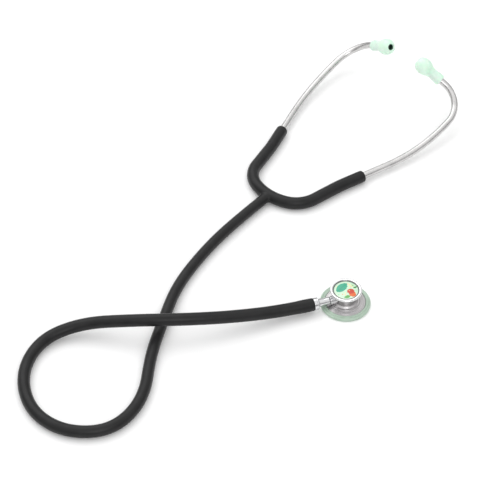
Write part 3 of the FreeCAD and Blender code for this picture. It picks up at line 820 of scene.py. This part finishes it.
def ear_tip(side):
    name = side_name(side)
    joint = joints[f"{name}_tip_turn"]
    matrix = frame_along(Vector(joint["pos_m"]), Vector(joint["axis"]))
    outer = lathe(f"ear_tip_{name}", TIP, matrix, loop=True, segments=96)
    dress(outer, tip_silicone, f"{name}_tip", [f"{name}_ear_tip"])
    # The dark sleeve and disc inside the sound hole are painted shade.
    shade_sleeve = lathe(f"ear_tip_shade_sleeve_{name}", TIP_SHADE_SLEEVE, matrix, loop=True, segments=64)
    dress(shade_sleeve, painted_bore_shade, f"{name}_tip")
    shade_disc = lathe(f"ear_tip_shade_disc_{name}", TIP_SHADE_DISC, matrix, segments=48)
    dress(shade_disc, painted_bore_shade, f"{name}_tip")


for side in (-1, 1):
    ear_tube(side)
    ear_tip(side)

# ---------------------------------------------------------------- chestpiece

ALONG_STEM = frame_along(Vector((0, 0, STEM_LEVEL)), STEM_AXIS)


def body():
    """The larger head's shell and the waist above it, with its turned steps."""
    outline = [
        (0, 2.1), (15.8, 0.8, 0.1), (16.9, 0.8, 0.1), (16.9, 2.0, 0.2), (15.0, 2.05, 0.1),
        (14.75, 2.5, 0.15), (14.0, 2.62, 0.1), (13.85, 2.5, 0.06), (13.7, 2.66, 0.1), (10.75, 3.2, 0.4),
        (10.45, 3.75, 0.35), (9.3, 3.95, 0.3), (7.9, 5.1, 1.1), (7.9, 9.55, 0.1), (7.7, 9.65, 0.06),
        (7.7, 9.85, 0.06), (7.9, 9.95, 0.1), (7.9, 10.65, 0.1), (0, 10.65),
    ]
    dress(lathe("chest_body", outline), turned_steel, "head", ["chestpiece_body"])


def cup():
    """The smaller head, with a seat for the disc in its mouth."""
    outline = [
        (0, 10.55), (7.75, 10.55, 0.15), (8.35, 10.7, 0.3), (11.1, 13.15, 0.8), (11.75, 13.75, 0.5),
        (11.75, 14.6, 0.6), (11.3, 15.14, 0.6), (10.5, 15.2, 1.2), (9.75, 14.95, 0.6), (9.5, 14.5, 0.2),
        (9.5, 13.4, 0.1), (0, 13.3),
    ]
    dress(lathe("chest_cup", outline), chrome, "head", ["bell_cup"])


def disc():
    """The domed disc in the cup."""
    outline = [
        (0, 13.35), (9.44, 13.35), (9.44, 14.0, 0.1), (8.9, 14.1, 0.5), (6.0, 14.26, 4), (3.0, 14.34, 4),
        (0, 14.36),
    ]
    dress(lathe("chest_disc", outline), disc_print, "head", ["graphic_disc"])


def retainer():
    """The thin ring that holds the disc."""
    outline = [(8.92, 14.08, 0.1), (9.48, 14.08, 0.1), (9.48, 14.5, 0.15), (8.92, 14.5, 0.2)]
    piece = lathe("chest_retainer", outline, loop=True)
    dress(piece, retainer_steel, "head", ["disc_retainer"])


def ring():
    """The soft ring that grips the larger head's rim and the diaphragm."""
    outline = [
        (15.5, 0.02, 0.1), (18.0, 0.0, 0.3), (18.5, 0.5, 0.4), (18.5, 1.7, 0.35), (18.0, 2.2, 0.3),
        (17.25, 2.42, 0.15), (17.1, 2.22, 0.1), (16.9, 2.3, 0.1), (16.75, 2.72, 0.2), (15.2, 2.8, 0.2),
        (15.0, 2.45, 0.12), (15.0, 2.02), (16.95, 2.02), (16.95, 0.5), (15.5, 0.5, 0.05),
    ]
    dress(lathe("chest_ring", outline, loop=True), ring_rubber, "head", ["diaphragm_ring"])


def diaphragm():
    """The thin diaphragm, with a raised step round its edge."""
    outline = [
        (0, 0.1), (14.9, 0.1, 0.2), (15.2, 0.5, 0.2), (16.8, 0.5), (16.8, 0.8), (14.9, 0.8), (14.6, 0.4),
        (0, 0.4),
    ]
    dress(lathe("chest_diaphragm", outline), laminate, "head", ["diaphragm"])


def stem():
    """The journal inside the body, the neck, the collar and the part inside the tubing."""
    outline = [
        (0, -4.4), (2.45, -4.4, 0.1), (2.45, 4.6, 0.05), (2.95, 4.6, 0.05), (2.95, 5.4, 0.05), (2.3, 5.4),
        (2.3, 12.3, 0.1), (2.85, 13.2, 0.8), (2.9, 17.0, 6), (3.2, 20.9, 1.0), (3.6, 21.4, 0.15),
        (4.3, 21.4, 0.3), (4.6, 21.8, 0.3), (4.6, 22.6, 0.1), (4.42, 22.75, 0.08), (4.42, 22.95, 0.08),
        (4.6, 23.1, 0.1), (4.6, 24.9, 0.25), (2.05, 24.9), (2.05, 35.7), (0, 35.7),
    ]
    piece = lathe("stem_shaft", outline, ALONG_STEM, segments=96)
    dress(piece, stem_plating, "root", ["stem"])


GRIP = (8.5, 11.7)  # heights of the nut's knurled part, in millimetres
KNURLS, KNURL_DEPTH = 36, 0.02  # depth as a share of the radius


def knurled(angle, height):
    """The nut's radius as a share of its outline's, for a fine axial knurl on the grip."""
    if not GRIP[0] < height < GRIP[1]:
        return 1
    return 1 - KNURL_DEPTH * (0.5 + 0.5 * math.cos(KNURLS * angle))


def nut():
    """The gland nut where the stem enters the body."""
    outline = [(2.42, 5.5), (3.05, 5.5), (3.05, 8.0), (3.25, 8.0, 0.1), (3.25, 12.2, 0.3), (2.42, 12.2, 0.1)]
    piece = lathe("stem_gland", outline, ALONG_STEM, loop=True, segments=288, squeeze=knurled)
    dress(piece, stem_plating, "head", ["stem_nut"])


for make in (body, cup, disc, retainer, ring, diaphragm, stem, nut):
    make()

# ---------------------------------------------------------------- hidden pieces

KEPT_SHAPES = {  # nodes that nothing replaces
    "stem_o_ring": seal,
    "detent_ball": spring_steel,
    "detent_spring": spring_steel,
    "detent_screw": spring_steel,
    "left_tip_insert": brass,
    "right_tip_insert": brass,
}
for node, material in KEPT_SHAPES.items():
    part = frame["nodes"][node]
    part.data.materials.clear()
    part.data.materials.append(material)

# ---------------------------------------------------------------- floor and light

FLOOR_REACH, FLOOR_LEVEL = 6.0, -0.06 * MM


def floor():
    corners = ((-1, -1), (1, -1), (1, 1), (-1, 1))
    vertices = [(x * FLOOR_REACH, y * FLOOR_REACH, FLOOR_LEVEL) for x, y in corners]
    plane = mesh_object("floor", vertices, [[0, 1, 2, 3]])
    paper = Finish("floor_paper", Roughness=0.85, Specular_IOR_Level=0.1)
    paper.mottle(140, 2, (0.965, 0.965, 0.965), (0.98, 0.98, 0.98))
    plane.data.materials.append(paper.material)


def world():
    """A white tent, bright overhead and darker towards the horizon."""
    sky = bpy.data.worlds.new("studio")
    bpy.context.scene.world = sky
    sky.use_nodes = True
    nodes, links = sky.node_tree.nodes, sky.node_tree.links
    where = nodes.new("ShaderNodeTexCoord")
    parts = nodes.new("ShaderNodeSeparateXYZ")
    ramp = nodes.new("ShaderNodeMapRange")
    ramp.inputs["From Min"].default_value = 0.08
    ramp.inputs["From Max"].default_value = 0.8
    ramp.inputs["To Min"].default_value = 0.2
    ramp.inputs["To Max"].default_value = 1.12
    links.new(where.outputs["Generated"], parts.inputs[0])
    links.new(parts.outputs[2], ramp.inputs["Value"])
    background = nodes["Background"]
    links.new(ramp.outputs[0], background.inputs["Strength"])
    background.inputs["Color"].default_value = (1, 1, 1, 1)


def softbox(name, place, width, watts):
    """A square lamp that faces the middle of the instrument."""
    middle = Vector((-0.08, 0, 0))
    light = bpy.data.lights.new(name, "AREA")
    light.size = width
    light.energy = watts
    lamp = bpy.data.objects.new(name, light)
    lamp.location = place
    lamp.rotation_euler = (middle - Vector(place)).to_track_quat("-Z", "Y").to_euler()
    bpy.context.scene.collection.objects.link(lamp)


floor()
world()
softbox("key", (-1.1, 0.3, 1.3), 1.7, 10)
softbox("fill", (0.85, -0.75, 0.9), 0.7, 4)
bpy.context.scene.view_settings.view_transform = "Standard"
